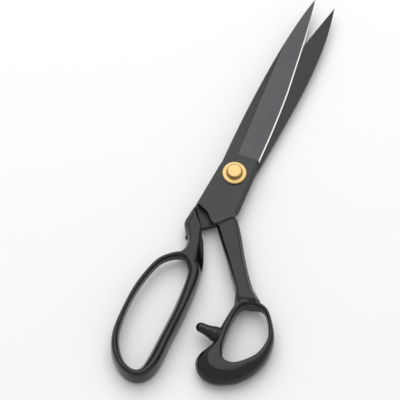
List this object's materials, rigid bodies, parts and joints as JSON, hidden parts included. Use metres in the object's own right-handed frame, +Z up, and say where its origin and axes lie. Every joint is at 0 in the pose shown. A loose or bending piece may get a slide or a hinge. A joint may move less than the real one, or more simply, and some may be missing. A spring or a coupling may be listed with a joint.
{
  "type": "fabric shears",
  "caption": "Bent-handle fabric shears: two tapered steel blades on a brass-capped pivot, set in enamelled thumb and finger bows, with a stop peg.",
  "frame": {"origin": "on the pivot axis, at the underside of the bolt head, which is the plane that the shears lie on", "axes": "+X to the right across the blades, +Y along the blades towards the tips, +Z up along the pivot axis towards the brass nut"},
  "size_m": [0.0832, 0.2529, 0.0146],
  "materials": {
    "blade_steel": "dark satin ground steel, bright at the honed edge",
    "handle_enamel": "gloss black enamel over a cast handle",
    "bolt_steel": "turned steel",
    "pivot_brass": "polished brass"
  },
  "bodies": {
    "finger_half": {"back_blade": "blade_steel", "finger_handle": "handle_enamel", "pivot_bolt": "bolt_steel", "pivot_washer": "pivot_brass", "pivot_nut": "pivot_brass"},
    "thumb_half": {"front_blade": "blade_steel", "thumb_handle": "handle_enamel"}
  },
  "joints": [
    {"name": "blade_pivot", "type": "hinge", "parent": "finger_half", "child": "thumb_half", "pos_m": [0, 0, 0.0086], "axis": [0, 0, 1], "range_deg": [-5.2, 60]}
  ]
}
